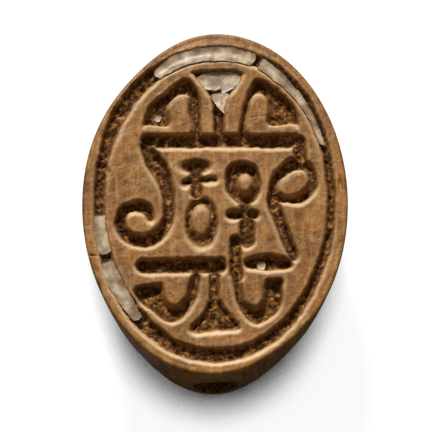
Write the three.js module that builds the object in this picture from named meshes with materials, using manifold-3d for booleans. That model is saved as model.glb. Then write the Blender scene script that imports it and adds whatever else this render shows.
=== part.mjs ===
// Scaraboid seal: an oval of carved steatite with an engraved face, a domed back and a bore
// from end to end. Remnants of its glaze and crust lie in the cuts.
// Millimetres. The engraved face looks up (+Z) and its top end points to +Y. The origin is
// under the middle of the seal, on the surface that its back lies on.

import * as THREE from 'three';
import { mergeVertices } from 'three/addons/utils/BufferGeometryUtils.js';
import Module from 'manifold-3d';

const wasm = await Module();
wasm.setup();

// Stone
const faceLength = 16.8;
const faceWidth = 12.4;
const stoneHeight = 7.2;
const endFullness = 5; // how upright the wall stays before it turns into the dome, at the ends
const flankFullness = 1.8; // and at the flanks
const backRoundness = 2.4; // of the dome, where 2 is an ellipse and more is blunter
const crownWear = 0.15; // rubbed off the top of the dome, which leaves a flat to lie on
const rimRounding = 0.22;

// Border groove, measured from the edge of the face to the middle of the groove
const borderInsetAtEnds = 1.0;
const borderInsetAtFlanks = 0.8;
const borderWidth = 0.56;
const borderDepth = 0.4;

// Bore
const boreDiameter = 1.8;
const boreMouthDiameter = 2.1; // worn wider where the string rubbed
const boreMouthLength = 1.1;
const boreBelowFace = 2.6;

// Engraving
const mainCutDepth = 0.55;
const fineCutDepth = 0.42;
const cutDraft = 0.22; // how far a cut's wall leans in for each millimetre of depth
const drawnWidth = 10.24; // the field inside the border groove that the figures are drawn for
const drawnLength = 14.24;

// Remnants of glaze and crust
const glazeThickness = 0.26;
const crustThickness = 0.36;
const chipThickness = 0.2;
const remnantClearance = 0.03; // between a remnant and the walls of the cut that it lies in

// Fineness of the facets
const sidesOfOval = 64;
const ringsOfBack = 12;
const ringsOfRim = 3;
const sidesOfBore = 20;
const stepsOfCurve = 3;
const sidesOfStrokeEnd = 4;
const mergeWithin = 1e-5; // points nearer than this are one point

// Where the oval is worn flatter than an ellipse: degrees from +X, depth, and spread in degrees
const wornFlats = [
  { at: 127, depth: 0.26, spread: 24 },
  { at: -62, depth: 0.18, spread: 20 },
];

const overshoot = 0.6; // how far a cutting solid reaches beyond the stone
const partingDepth = 0.1; // how far a part left standing reaches below the floor of its cut
const sharpestTurn = 0.5; // keeps a sharp corner from being moved in by more than twice
const borderHalfWidth = faceWidth / 2 - borderInsetAtFlanks;
const borderHalfLength = faceLength / 2 - borderInsetAtEnds;
const borderFloorWidth = borderWidth - 2 * borderDepth * cutDraft;
const stretchAcross = (2 * borderHalfWidth - borderWidth) / drawnWidth;
const stretchAlong = (2 * borderHalfLength - borderWidth) / drawnLength;

const steatite = { color: 0x9a7240, roughness: 0.6, metalness: 0 };
const glaze = { color: 0xa89a88, roughness: 0.35, metalness: 0 };
const crust = { color: 0xd0bca0, roughness: 0.85, metalness: 0 };

// A point of the engraving, in the millimetres that it is drawn in
function drawn(x, y) {
  return new THREE.Vector2(x * stretchAcross, y * stretchAlong);
}

function trianglesWithArea(index) {
  const kept = [];
  for (let i = 0; i < index.length; i += 3) {
    const [a, b, c] = [index[i], index[i + 1], index[i + 2]];
    if (a !== b && b !== c && c !== a) kept.push(a, b, c);
  }
  return new Uint32Array(kept);
}

function solidFrom(geometry) {
  const bare = geometry.clone();
  bare.deleteAttribute('normal');
  bare.deleteAttribute('uv');
  const merged = mergeVertices(bare, mergeWithin);
  return new wasm.Manifold(new wasm.Mesh({
    numProp: 3,
    vertProperties: merged.attributes.position.array,
    triVerts: trianglesWithArea(merged.index.array),
  }));
}

function geometryFrom(solid) {
  const mesh = solid.getMesh();
  const geometry = new THREE.BufferGeometry();
  geometry.setAttribute('position', new THREE.BufferAttribute(mesh.vertProperties, 3));
  geometry.setIndex(new THREE.BufferAttribute(mesh.triVerts, 1));
  geometry.computeVertexNormals();
  return geometry;
}

function fanOver(count) {
  const triangles = [];
  for (let i = 1; i < count - 1; i += 1) triangles.push([0, i, i + 1]);
  return triangles;
}

// A closed skin over rings that have the same number of points, each ring counter-clockwise
// when seen from the end that the rings are heading for
function skinOver(rings, ends = fanOver(rings[0].length)) {
  const across = rings[0].length;
  const last = (rings.length - 1) * across;
  const index = [];
  for (let r = 0; r < rings.length - 1; r += 1) {
    for (let i = 0; i < across; i += 1) {
      const here = r * across + i;
      const next = r * across + (i + 1) % across;
      index.push(here, next, next + across, here, next + across, here + across);
    }
  }
  for (const [a, b, c] of ends) {
    index.push(a, c, b);
    index.push(last + a, last + b, last + c);
  }
  const geometry = new THREE.BufferGeometry().setFromPoints(rings.flat());
  geometry.setIndex(index);
  return geometry;
}

function ovalRing(halfWidth, halfLength, z) {
  const ring = [];
  for (let i = 0; i < sidesOfOval; i += 1) {
    const degrees = (360 * i) / sidesOfOval;
    let worn = 0;
    for (const flat of wornFlats) {
      const away = THREE.MathUtils.euclideanModulo(degrees - flat.at + 180, 360) - 180;
      worn += flat.depth * Math.exp(-((away / flat.spread) ** 2));
    }
    const share = halfWidth / (faceWidth / 2);
    const angle = THREE.MathUtils.degToRad(degrees);
    const x = (halfWidth - worn * share) * Math.cos(angle);
    const y = (halfLength - worn * share) * Math.sin(angle);
    ring.push(new THREE.Vector3(x, y, z));
  }
  return ring;
}

// Half the width or length left at a depth below the face
function halfAt(depth, halfAtFace, fullness) {
  const share = depth / (stoneHeight + crownWear);
  return halfAtFace * (1 - share ** fullness) ** (1 / backRoundness);
}

function stoneBlank() {
  const rings = [];
  for (let i = ringsOfBack; i > 0; i -= 1) {
    const depth = stoneHeight * Math.sin((Math.PI / 2) * (i / ringsOfBack));
    const halfWidth = halfAt(depth, faceWidth / 2, flankFullness);
    const halfLength = halfAt(depth, faceLength / 2, endFullness);
    rings.push(ovalRing(halfWidth, halfLength, stoneHeight - depth));
  }
  for (let i = 0; i <= ringsOfRim; i += 1) {
    const angle = (Math.PI / 2) * (i / ringsOfRim);
    const inset = rimRounding * (1 - Math.cos(angle));
    const z = stoneHeight - rimRounding * (1 - Math.sin(angle));
    rings.push(ovalRing(faceWidth / 2 - inset, faceLength / 2 - inset, z));
  }
  return solidFrom(skinOver(rings));
}

function boreTool() {
  const end = faceLength / 2 + overshoot;
  const mouth = faceLength / 2 - boreMouthLength;
  const flare = (boreMouthDiameter - boreDiameter) / 2 / boreMouthLength;
  const endRadius = boreDiameter / 2 + flare * (end - mouth);
  const profile = [
    new THREE.Vector2(0, -end),
    new THREE.Vector2(endRadius, -end),
    new THREE.Vector2(boreDiameter / 2, -mouth),
    new THREE.Vector2(boreDiameter / 2, mouth),
    new THREE.Vector2(endRadius, end),
    new THREE.Vector2(0, end),
  ];
  const geometry = new THREE.LatheGeometry(profile, sidesOfBore);
  geometry.translate(0, 0, stoneHeight - boreBelowFace);
  return solidFrom(geometry);
}

// The border groove is an ellipse. A section of [outward from its middle, height] points is
// carried along it, between two angles in degrees or all the way round.
function alongBorder(section, from, to) {
  const wholeWay = to - from === 360;
  const steps = Math.max(2, Math.round((sidesOfOval * (to - from)) / 360));
  const rings = [];
  for (let i = 0; i < steps + (wholeWay ? 0 : 1); i += 1) {
    const angle = THREE.MathUtils.degToRad(from + ((to - from) * i) / steps);
    const x = borderHalfWidth * Math.cos(angle);
    const y = borderHalfLength * Math.sin(angle);
    const outward = new THREE.Vector2(x / borderHalfWidth ** 2, y / borderHalfLength ** 2);
    outward.normalize();
    rings.push(section.map(([out, z]) => (
      new THREE.Vector3(x + outward.x * out, y + outward.y * out, z))));
  }
  if (!wholeWay) return skinOver(rings);
  const across = section.length;
  const index = [];
  for (let r = 0; r < steps; r += 1) {
    for (let i = 0; i < across; i += 1) {
      const here = r * across + i;
      const next = r * across + (i + 1) % across;
      const ahead = ((r + 1) % steps) * across;
      index.push(here, next, ahead + (i + 1) % across);
      index.push(here, ahead + (i + 1) % across, ahead + i);
    }
  }
  const geometry = new THREE.BufferGeometry().setFromPoints(rings.flat());
  geometry.setIndex(index);
  return geometry;
}

function borderTool() {
  const floor = borderFloorWidth / 2;
  const top = borderWidth / 2;
  return solidFrom(alongBorder([
    [-floor, stoneHeight - borderDepth],
    [-top, stoneHeight],
    [-top, stoneHeight + overshoot],
    [top, stoneHeight + overshoot],
    [top, stoneHeight],
    [floor, stoneHeight - borderDepth],
  ], 0, 360));
}

// An outline moved in by a distance, with its points kept one to one
function movedIn(outline, distance) {
  const count = outline.length;
  return outline.map((spot, i) => {
    const arriving = spot.clone().sub(outline[(i + count - 1) % count]).normalize();
    const leaving = outline[(i + 1) % count].clone().sub(spot).normalize();
    const along = arriving.add(leaving).multiplyScalar(0.5);
    const inward = new THREE.Vector2(-along.y, along.x);
    const sharpness = Math.max(inward.length(), sharpestTurn);
    return spot.clone().addScaledVector(inward.normalize(), distance / sharpness);
  });
}

// The solid under an outline on the face, down to a depth, kept clear of the outline all
// round. Its walls lean in with a draft above zero, as in a cut, and out with one below
// zero, as on a part left standing.
function drafted(outline, depth, draft, clear = 0) {
  const turned = THREE.ShapeUtils.isClockWise(outline) ? outline.slice().reverse() : outline;
  const levels = [
    [depth * draft + clear, stoneHeight - depth],
    [clear, stoneHeight],
    [clear, stoneHeight + overshoot],
  ];
  const rings = levels.map(([inset, z]) => (
    movedIn(turned, inset).map((p) => new THREE.Vector3(p.x, p.y, z))));
  return solidFrom(skinOver(rings, THREE.ShapeUtils.triangulateShape(turned, [])));
}

function cutOut(outline, depth) {
  return drafted(outline, depth, cutDraft);
}

function leftStanding(outline, depth) {
  return drafted(outline, depth + partingDepth, -cutDraft);
}

function straightOutline(points) {
  return points.map(([x, y]) => drawn(x, y));
}

function roundOutline(points) {
  const through = points.map(([x, y]) => new THREE.Vector3(drawn(x, y).x, drawn(x, y).y, 0));
  const curve = new THREE.CatmullRomCurve3(through, true, 'centripetal');
  const spots = curve.getPoints(points.length * stepsOfCurve).slice(0, -1);
  return spots.map((p) => new THREE.Vector2(p.x, p.y));
}

function ovalOutline(x, y, halfWidth, halfLength, sides) {
  const outline = [];
  for (let i = 0; i < sides; i += 1) {
    const angle = (2 * Math.PI * i) / sides;
    outline.push(drawn(x + halfWidth * Math.cos(angle), y + halfLength * Math.sin(angle)));
  }
  return outline;
}

// The points of a round end, clockwise from one side of a stroke to the other
function strokeEnd(middle, aside) {
  const points = [];
  for (let i = 1; i < sidesOfStrokeEnd; i += 1) {
    const turned = aside.clone().rotateAround(new THREE.Vector2(), (-Math.PI * i) / sidesOfStrokeEnd);
    points.push(middle.clone().add(turned));
  }
  return points;
}

// A stroke through [x, y, width] points, with its two ends rounded
function strokeOutline(points) {
  const middle = new THREE.SplineCurve(points.map(([x, y]) => drawn(x, y)));
  const count = (points.length - 1) * stepsOfCurve;
  const left = [];
  const right = [];
  for (let i = 0; i <= count; i += 1) {
    const place = i / stepsOfCurve;
    const before = Math.min(Math.floor(place), points.length - 2);
    const width = THREE.MathUtils.lerp(points[before][2], points[before + 1][2], place - before);
    const spot = middle.getPoint(i / count);
    const along = middle.getTangent(i / count);
    const aside = new THREE.Vector2(-along.y, along.x).multiplyScalar(width / 2);
    if (i === 0) left.push(...strokeEnd(spot, aside.clone().negate()));
    left.push(spot.clone().add(aside));
    right.unshift(spot.clone().sub(aside));
    if (i === count) left.push(...strokeEnd(spot, aside));
  }
  return left.concat(right);
}

function joined(solids) {
  return solids.reduce((all, solid) => all.add(solid));
}

// The cuts that remnants lie in
const notchOutline = straightOutline([
  [-1.1, 6.4], [-0.7, 6.5], [0.9, 6.5], [1.3, 6.35], [1.05, 5.85], [0.6, 5.3], [0.45, 4.6],
  [0.42, 2.95], [0.02, 2.95], [-0.04, 4.6], [-0.16, 5.2], [-0.55, 5.75],
]);
const upperLeftOutline = roundOutline([
  [-3.35, 3.8], [-3.1, 4.65], [-2.6, 5.2], [-1.95, 5.75], [-1.35, 6.05], [-1.0, 5.7],
  [-0.72, 5.2], [-0.7, 4.2], [-0.75, 2.95], [-1.15, 2.95], [-2.2, 2.95], [-3.1, 3.0],
]);
const lowerRightOutline = strokeOutline([
  [1.6, -2.95, 0.5], [2.5, -2.92, 0.74], [3.35, -2.95, 0.5],
]);

// Upper plant: a notch and a slit between two stems, with a leaf in a hollow on each side
function upperPlant() {
  const notch = cutOut(notchOutline, mainCutDepth);
  const leftHollow = cutOut(upperLeftOutline, mainCutDepth);
  const leftLeaf = leftStanding(straightOutline([
    [-3.2, 3.35], [-3.2, 3.8], [-2.15, 3.8], [-2.2, 4.6], [-1.95, 5.1], [-1.55, 5.35],
    [-1.25, 5.2], [-1.2, 4.4], [-1.2, 3.35],
  ]), mainCutDepth);
  const rightHollow = cutOut(roundOutline([
    [1.25, 2.95], [1.25, 4.2], [1.45, 5.1], [1.9, 6.0], [2.3, 6.0], [2.95, 5.55], [3.5, 4.95],
    [3.85, 4.3], [3.85, 3.7], [3.7, 2.95], [2.5, 2.95],
  ]), mainCutDepth);
  const rightLeaf = leftStanding(straightOutline([
    [1.6, 3.35], [1.6, 4.6], [1.75, 5.15], [2.05, 5.4], [2.35, 5.2], [2.5, 4.6], [2.5, 3.85],
    [3.7, 3.85], [3.7, 3.35],
  ]), mainCutDepth);
  const crossGroove = cutOut(strokeOutline([[-3.15, 3.05, 0.6], [3.5, 3.05, 0.6]]), mainCutDepth);
  return joined([
    notch,
    leftHollow.subtract(leftLeaf),
    rightHollow.subtract(rightLeaf),
    crossGroove,
  ]);
}

function leftScroll() {
  const stroke = strokeOutline([
    [-3.2, 2.8, 0.55], [-2.85, 2.05, 0.8], [-2.5, 1.45, 0.75], [-2.25, 0.7, 0.55],
    [-2.14, -0.15, 0.47], [-2.22, -0.95, 0.48], [-2.6, -1.5, 0.55], [-3.25, -1.85, 0.6],
    [-3.95, -1.72, 0.5], [-4.4, -1.1, 0.48], [-4.25, -0.4, 0.46], [-3.65, -0.14, 0.5],
    [-3.15, -0.36, 0.45], [-2.98, -0.75, 0.3],
  ]);
  return cutOut(stroke, mainCutDepth);
}

function leftSign() {
  const lens = cutOut(ovalOutline(-0.92, 1.78, 0.68, 0.32, 14), fineCutDepth);
  const neck = cutOut(strokeOutline([[-0.88, 1.6, 0.5], [-0.86, 0.45, 0.5]]), fineCutDepth);
  const arms = cutOut(strokeOutline([
    [-1.45, 0.9, 0.24], [-0.86, 1.12, 0.3], [0.0, 1.12, 0.22],
  ]), fineCutDepth);
  const ring = cutOut(ovalOutline(-0.62, -0.95, 0.75, 1.22, 20), fineCutDepth);
  const heart = leftStanding(ovalOutline(-0.66, -0.88, 0.36, 0.62, 14), fineCutDepth);
  return joined([lens, neck, arms, ring]).subtract(heart);
}

function rightSign() {
  const loop = cutOut(roundOutline([
    [1.3, 2.0], [0.75, 1.85], [0.5, 1.3], [0.6, 0.5], [1.15, -0.05], [1.6, -0.05],
    [2.05, 0.45], [2.1, 1.15], [1.85, 1.8],
  ]), mainCutDepth);
  const eye = leftStanding(ovalOutline(1.42, 0.9, 0.22, 0.34, 12), mainCutDepth);
  const neck = cutOut(strokeOutline([[1.4, 0.1, 0.45], [1.4, -0.6, 0.45]]), mainCutDepth);
  const bar = cutOut(strokeOutline([[0.75, -0.6, 0.4], [1.85, -0.6, 0.4]]), mainCutDepth);
  const stem = cutOut(strokeOutline([[1.5, -0.6, 0.6], [1.5, -1.85, 0.66]]), mainCutDepth);
  return joined([loop.subtract(eye), neck, bar, stem]);
}

function rightScroll() {
  const link = cutOut(strokeOutline([[3.9, 3.0, 0.6], [4.0, 2.0, 0.55]]), fineCutDepth);
  const loop = cutOut(roundOutline([
    [3.3, 2.05], [2.75, 1.4], [2.5, 0.6], [2.6, 0.05], [3.3, 0.02], [4.05, 0.02],
    [4.65, 0.6], [4.75, 1.3], [4.5, 1.9], [3.9, 2.2],
  ]), mainCutDepth);
  const boss = leftStanding(roundOutline([
    [3.0, 0.6], [3.15, 1.1], [3.6, 1.5], [4.05, 1.6], [4.3, 1.3], [4.3, 0.8], [3.9, 0.45],
    [3.4, 0.35],
  ]), mainCutDepth);
  const tail = cutOut(strokeOutline([
    [2.7, 0.3, 0.5], [2.75, -0.15, 0.55], [3.05, -0.95, 0.48], [3.3, -1.65, 0.48],
    [3.65, -2.6, 0.4],
  ]), mainCutDepth);
  return joined([link, loop.subtract(boss), tail]);
}

function lowerGroove() {
  const left = cutOut(strokeOutline([[-3.3, -3.1, 0.66], [0.2, -3.05, 0.7]]), mainCutDepth);
  const right = cutOut(lowerRightOutline, mainCutDepth);
  const strip = cutOut(strokeOutline([[0.95, -1.9, 0.55], [1.0, -3.5, 0.55]]), fineCutDepth);
  return joined([left, right, strip]);
}

// Lower plant: two stems over a mound, with a leaf in a hollow on each side
function lowerPlant() {
  const leftHollow = cutOut(roundOutline([
    [-3.65, -4.15], [-3.6, -4.75], [-3.0, -5.2], [-2.4, -5.7], [-1.95, -5.8], [-1.5, -5.55],
    [-1.1, -5.0], [-0.8, -4.4], [-0.75, -3.25], [-1.25, -3.25], [-1.4, -3.95], [-2.4, -3.95],
  ]), mainCutDepth);
  const leftLeaf = leftStanding(straightOutline([
    [-2.3, -3.2], [-2.35, -4.4], [-2.25, -4.85], [-1.85, -5.05], [-1.5, -4.8],
    [-1.25, -4.35], [-1.2, -3.2],
  ]), mainCutDepth);
  const slit = cutOut(strokeOutline([
    [0.0, -3.3, 0.45], [-0.02, -4.7, 0.42], [-0.25, -5.4, 0.5], [-0.75, -6.1, 0.6],
  ]), fineCutDepth);
  const branch = cutOut(strokeOutline([
    [-0.02, -4.7, 0.4], [0.4, -5.35, 0.45], [0.85, -5.95, 0.4],
  ]), fineCutDepth);
  const rightHollow = cutOut(roundOutline([
    [0.75, -3.3], [0.95, -4.4], [1.2, -5.2], [1.55, -5.7], [2.05, -5.85], [2.6, -5.55],
    [3.05, -5.0], [3.1, -4.2], [3.1, -3.75], [2.3, -3.75], [1.2, -3.3],
  ]), mainCutDepth);
  const rightLeaf = leftStanding(straightOutline([
    [1.25, -3.35], [1.25, -4.3], [1.5, -4.9], [1.9, -5.1], [2.2, -4.8], [2.3, -4.2],
    [2.3, -3.35],
  ]), mainCutDepth);
  return joined([
    leftHollow.subtract(leftLeaf),
    rightHollow.subtract(rightLeaf),
    slit,
    branch,
  ]);
}

function steatiteBody() {
  const engraving = [
    borderTool(),
    upperPlant(),
    leftScroll(),
    leftSign(),
    rightSign(),
    rightScroll(),
    lowerGroove(),
    lowerPlant(),
  ];
  return stoneBlank().subtract(joined(engraving)).subtract(boreTool());
}

// Glaze lying on the floor of the border groove between two angles
function borderGlaze(from, to) {
  const floor = stoneHeight - borderDepth;
  const atFloor = borderFloorWidth / 2 - remnantClearance;
  const atTop = atFloor + glazeThickness * cutDraft;
  return alongBorder([
    [-atFloor, floor],
    [-atTop, floor + glazeThickness],
    [atTop, floor + glazeThickness],
    [atFloor, floor],
  ], from, to);
}

// A remnant lying on the floor of a cut: the part of it that a patch on the face covers
function onFloor(cutOutline, cutDepth, patch, thickness) {
  const floor = stoneHeight - cutDepth;
  const geometry = new THREE.ExtrudeGeometry(new THREE.Shape(patch), {
    depth: thickness,
    bevelEnabled: false,
  });
  geometry.translate(0, 0, floor);
  const room = drafted(cutOutline, cutDepth, cutDraft, remnantClearance);
  return geometryFrom(room.intersect(solidFrom(geometry)));
}

const topNotchPatch = straightOutline([
  [-1.0, 6.2], [-0.7, 6.4], [1.1, 6.4], [1.3, 6.2], [0.9, 5.75], [0.5, 5.4], [-0.3, 5.45],
]);
const forkPatch = straightOutline([
  [-0.3, 5.35], [0.6, 5.3], [0.6, 5.0], [0.35, 4.55], [0.15, 4.4], [0.05, 4.75], [-0.15, 4.9],
]);
const lowerGroovePatch = straightOutline([[2.0, -2.8], [1.98, -3.1], [2.28, -3.15], [2.3, -2.85]]);
const upperLeftPatch = straightOutline([[-2.85, 4.15], [-2.6, 4.05], [-2.45, 4.4], [-2.8, 4.5]]);

const seal = new THREE.Group();

function place(name, geometry, finish) {
  const mesh = new THREE.Mesh(geometry, new THREE.MeshStandardMaterial(finish));
  mesh.name = name;
  seal.add(mesh);
}

function placeRemnant(name, cutOutline, patch, thickness, finish) {
  place(name, onFloor(cutOutline, mainCutDepth, patch, thickness), finish);
}

place('steatite_body', geometryFrom(steatiteBody()), steatite);
place('glaze_right_border', borderGlaze(24, 68), glaze);
place('glaze_top_border', borderGlaze(70, 122), glaze);
place('glaze_left_border_upper', borderGlaze(184, 200), glaze);
place('glaze_left_border_lower', borderGlaze(202, 230), glaze);
placeRemnant('glaze_top_notch', notchOutline, topNotchPatch, glazeThickness, glaze);
placeRemnant('crust_in_fork', notchOutline, forkPatch, crustThickness, crust);
placeRemnant('glaze_chip_lower_groove', lowerRightOutline, lowerGroovePatch, chipThickness, glaze);
placeRemnant('glaze_chip_upper_left', upperLeftOutline, upperLeftPatch, chipThickness, glaze);

export default seal;
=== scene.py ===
# Scaraboid seal: an oval of carved steatite with an engraved face, a domed back and a bore
# from end to end. Remnants of its glaze and crust lie in the cuts. Shapes are worked out in
# millimetres, and each mesh is turned to metres as it is made.
import math

import bmesh
import bpy
import numpy as np
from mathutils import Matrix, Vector


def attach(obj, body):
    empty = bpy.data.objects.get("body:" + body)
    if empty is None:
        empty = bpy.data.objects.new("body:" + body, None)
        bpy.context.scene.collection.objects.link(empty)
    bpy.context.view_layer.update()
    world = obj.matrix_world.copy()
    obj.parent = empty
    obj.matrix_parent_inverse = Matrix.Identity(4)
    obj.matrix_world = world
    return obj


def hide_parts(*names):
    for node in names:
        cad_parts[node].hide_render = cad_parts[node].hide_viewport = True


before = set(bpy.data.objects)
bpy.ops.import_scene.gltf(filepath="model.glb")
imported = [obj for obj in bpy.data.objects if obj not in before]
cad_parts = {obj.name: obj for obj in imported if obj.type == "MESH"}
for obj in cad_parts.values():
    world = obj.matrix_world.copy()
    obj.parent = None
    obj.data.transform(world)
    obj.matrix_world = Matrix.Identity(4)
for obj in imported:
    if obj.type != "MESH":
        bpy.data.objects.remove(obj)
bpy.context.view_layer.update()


# The stone: one oval block of steatite, sawn, ground to a low dome behind and flat in front,
# with a rounded rim. Fired and handled for years, it is nowhere quite true.
face_length = 16.8
face_width = 12.4
stone_height = 7.2
end_fullness = 5.0  # the larger it is, the longer the wall stays upright on its way down
flank_fullness = 1.8
back_roundness = 2.4
crown_wear = 0.15
rim_rounding = 0.22
worn_flats = np.array([[127, 0.26, 24], [-62, 0.18, 20]])  # degrees from +X, depth, spread in degrees
metres = 0.001

# A lattice of random heights, mixed from the numbers of its corners and a seed
lattice_shift = 200.0  # keeps those numbers above zero
scramblers = np.array([73856093, 19349663, 83492791])
last_scrambler = 1274126177
first_shift = 13
last_shift = 16
seed_stride = 6271
seed_start = 17
kept_bits = 0xFFFF


def eased(share):
    share = np.clip(share, 0, 1)
    return share * share * (3 - 2 * share)


def grain(points, size, seed):
    """Smooth random heights between -1 and 1, in lumps of about the given size."""
    spots = points / size + lattice_shift
    whole = np.floor(spots).astype(np.int64)
    part = eased(spots - whole)
    total = np.zeros(len(points))
    for corner in range(8):
        step = np.array([corner & 1, corner >> 1 & 1, corner >> 2 & 1])
        mixed = np.bitwise_xor.reduce((whole + step) * scramblers, axis=1)
        mixed ^= seed * seed_stride + seed_start
        mixed = (mixed ^ (mixed >> first_shift)) * last_scrambler
        value = ((mixed ^ (mixed >> last_shift)) & kept_bits) / (kept_bits / 2) - 1
        total += value * np.prod(np.where(step == 1, part, 1 - part), axis=1)
    return total


def rough(points, size, seed):
    """Coarse lumps with finer ones on them, between -1 and 1. It takes three seeds in a row."""
    layers = [(1.0, 1.0), (0.5, 2.1), (0.25, 4.3)]  # how strong each is, and how many times finer
    total = sum(strength * grain(points, size / finer, seed + number)
                for number, (strength, finer) in enumerate(layers))
    return total / sum(strength for strength, finer in layers)


def oval_point(angle, half_width, half_length):
    """A point on the outline of the stone, at angles in radians."""
    directions, depths, spreads = worn_flats.T
    away = (np.degrees(angle)[:, None] - directions + 180) % 360 - 180
    worn = (depths * np.exp(-(away / spreads) ** 2)).sum(axis=1) * half_width / (face_width / 2)
    return (half_width - worn) * np.cos(angle), (half_length - worn) * np.sin(angle)


def half_at(depth, half_at_face, fullness):
    """Half the width or length of the stone, at a depth below its face."""
    share = depth / (stone_height + crown_wear)
    return half_at_face * (1 - share ** fullness) ** (1 / back_roundness)


# The engraving: every cut was made by hand with a point and a small flat graver, so walls
# lean, floors are rough and shoulders are worn round. Strokes are [x, y, width] points and
# outlines are [x, y] points, in millimetres on the face.
main_depth = 0.55
fine_depth = 0.42
border_depth = 0.4
fork_hollow_depth = 0.26
border_half_width = 5.4
border_half_length = 7.4
shoulder = 0.1  # how far outside a cut its worn edge begins
wall_run = 0.27  # from there to the floor
lower_slope = 0.22  # how far the lower side of a cut is bevelled back
bevel_steps = (0.7, 0.35)  # the shares of that slope at which the bevel is drawn
leaf_foot = 0.2  # how far outside its outline the side of a leaf or boss begins to rise
leaf_roundness = 0.3  # and how far on it is at its full height
far_away = 99.0  # farther than any place lies from a cut
tiny = 1e-6  # below this, a divisor counts as nothing


def through(points, closed):
    """A smooth course through given points."""
    spots = np.array(points, float)
    count = len(spots)
    course = []
    for i in range(count if closed else count - 1):
        around = np.arange(i - 1, i + 3)
        around = around % count if closed else np.clip(around, 0, count - 1)
        a, b, c, d = spots[around]
        for t in (0, 0.25, 0.5, 0.75):
            course.append(0.5 * (2 * b + (c - a) * t + (2 * a - 5 * b + 4 * c - d) * t ** 2
                                 + (3 * b - a - 3 * c + d) * t ** 3))
    if not closed:
        course.append(spots[-1])
    return course


def beside(x, y, start, end):
    """The distance to a straight stretch, and how far along it the nearest point lies."""
    run_x = end[0] - start[0]
    run_y = end[1] - start[1]
    along = ((x - start[0]) * run_x + (y - start[1]) * run_y) / (run_x ** 2 + run_y ** 2 + tiny ** 2)
    along = np.clip(along, 0, 1)
    return np.hypot(x - start[0] - along * run_x, y - start[1] - along * run_y), along


def in_stroke(x, y, points):
    """How far inside a stroke each place lies, below zero outside it."""
    inside = np.full(x.shape, -far_away)
    course = through(points, False) if len(points) > 2 else np.array(points, float)
    for start, end in zip(course[:-1], course[1:]):
        away, along = beside(x, y, start, end)
        inside = np.maximum(inside, (start[2] + (end[2] - start[2]) * along) / 2 - away)
    return inside


def in_outline(x, y, points, smooth=True):
    """How far inside a closed outline each place lies, below zero outside it."""
    course = through(points, True) if smooth else list(np.array(points, float))
    nearest = np.full(x.shape, far_away)
    crossed = np.zeros(x.shape, bool)
    for start, end in zip(course, course[1:] + course[:1]):
        away, along = beside(x, y, start, end)
        nearest = np.minimum(nearest, away)
        rise = end[1] - start[1]
        if abs(rise) > tiny:
            level = (start[1] > y) != (end[1] > y)
            crossed ^= level & (x < (end[0] - start[0]) * (y - start[1]) / rise + start[0])
    return np.where(crossed, nearest, -nearest)


def in_oval(x, y, middle_x, middle_y, half_x, half_y):
    """How far inside an oval each place lies, nearly enough near its edge."""
    reach = np.hypot((x - middle_x) / half_x, (y - middle_y) / half_y)
    return (1 - reach) * min(half_x, half_y)


# Round the border, at angles in degrees: how far the groove strays outward, and its width
border_course = np.array([
    [0, 0.02, 0.34], [20, 0.1, 0.38], [40, 0.2, 0.52], [60, 0.16, 0.58], [90, 0.0, 0.56],
    [120, 0.02, 0.62], [145, 0.08, 0.7], [165, 0.04, 0.5], [180, 0.0, 0.44], [200, 0.02, 0.52],
    [225, 0.03, 0.66], [250, 0.04, 0.6], [270, 0.05, 0.66], [290, 0.05, 0.56], [315, 0.02, 0.46],
    [340, 0.02, 0.38], [360, 0.02, 0.34]])


def border_at(angle):
    """Stray and width of the border groove at angles in radians."""
    turned = np.degrees(angle) % 360
    degrees, strays, widths = border_course.T
    return np.interp(turned, degrees, strays), np.interp(turned, degrees, widths)


def in_border(x, y):
    """How far inside the border groove each place lies, below zero outside it."""
    angle = np.arctan2(y / border_half_length, x / border_half_width)
    reach = np.hypot(x / border_half_width, y / border_half_length)
    steep = np.hypot(np.cos(angle) / border_half_width, np.sin(angle) / border_half_length)
    away = (reach - 1) / np.maximum(steep, tiny)
    stray, width = border_at(angle)
    return width / 2 - np.abs(away - stray)


# The upper plants: a notch, and a hollow on each side of it in which a leaf is left standing,
# over a groove
notch = [[-1.1, 6.4], [-0.7, 6.5], [0.9, 6.5], [1.3, 6.35], [1.05, 5.85], [0.6, 5.3], [0.45, 4.6],
         [0.42, 2.95], [0.02, 2.95], [-0.04, 4.6], [-0.16, 5.2], [-0.55, 5.75]]
upper_left_hollow = [[-3.35, 3.8], [-3.1, 4.65], [-2.6, 5.2], [-1.95, 5.75], [-1.35, 6.05],
                     [-1.0, 5.7], [-0.72, 5.2], [-0.7, 4.2], [-0.75, 2.95], [-1.15, 2.95],
                     [-2.2, 2.95], [-3.1, 3.0]]
upper_left_leaf = [[-3.2, 3.35], [-3.2, 3.8], [-2.15, 3.8], [-2.2, 4.6], [-1.95, 5.1],
                   [-1.55, 5.35], [-1.25, 5.2], [-1.2, 4.4], [-1.2, 3.35]]
upper_right_hollow = [[1.25, 2.95], [1.25, 4.2], [1.45, 5.1], [1.9, 6.0], [2.3, 6.0], [2.95, 5.55],
                      [3.5, 4.95], [3.85, 4.3], [3.85, 3.7], [3.7, 2.95], [2.5, 2.95]]
upper_right_leaf = [[1.6, 3.35], [1.6, 4.6], [1.75, 5.15], [2.05, 5.4], [2.35, 5.2], [2.5, 4.6],
                    [2.5, 3.85], [3.7, 3.85], [3.7, 3.35]]
upper_groove = [[-3.15, 3.05, 0.6], [3.5, 3.05, 0.6]]

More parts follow.
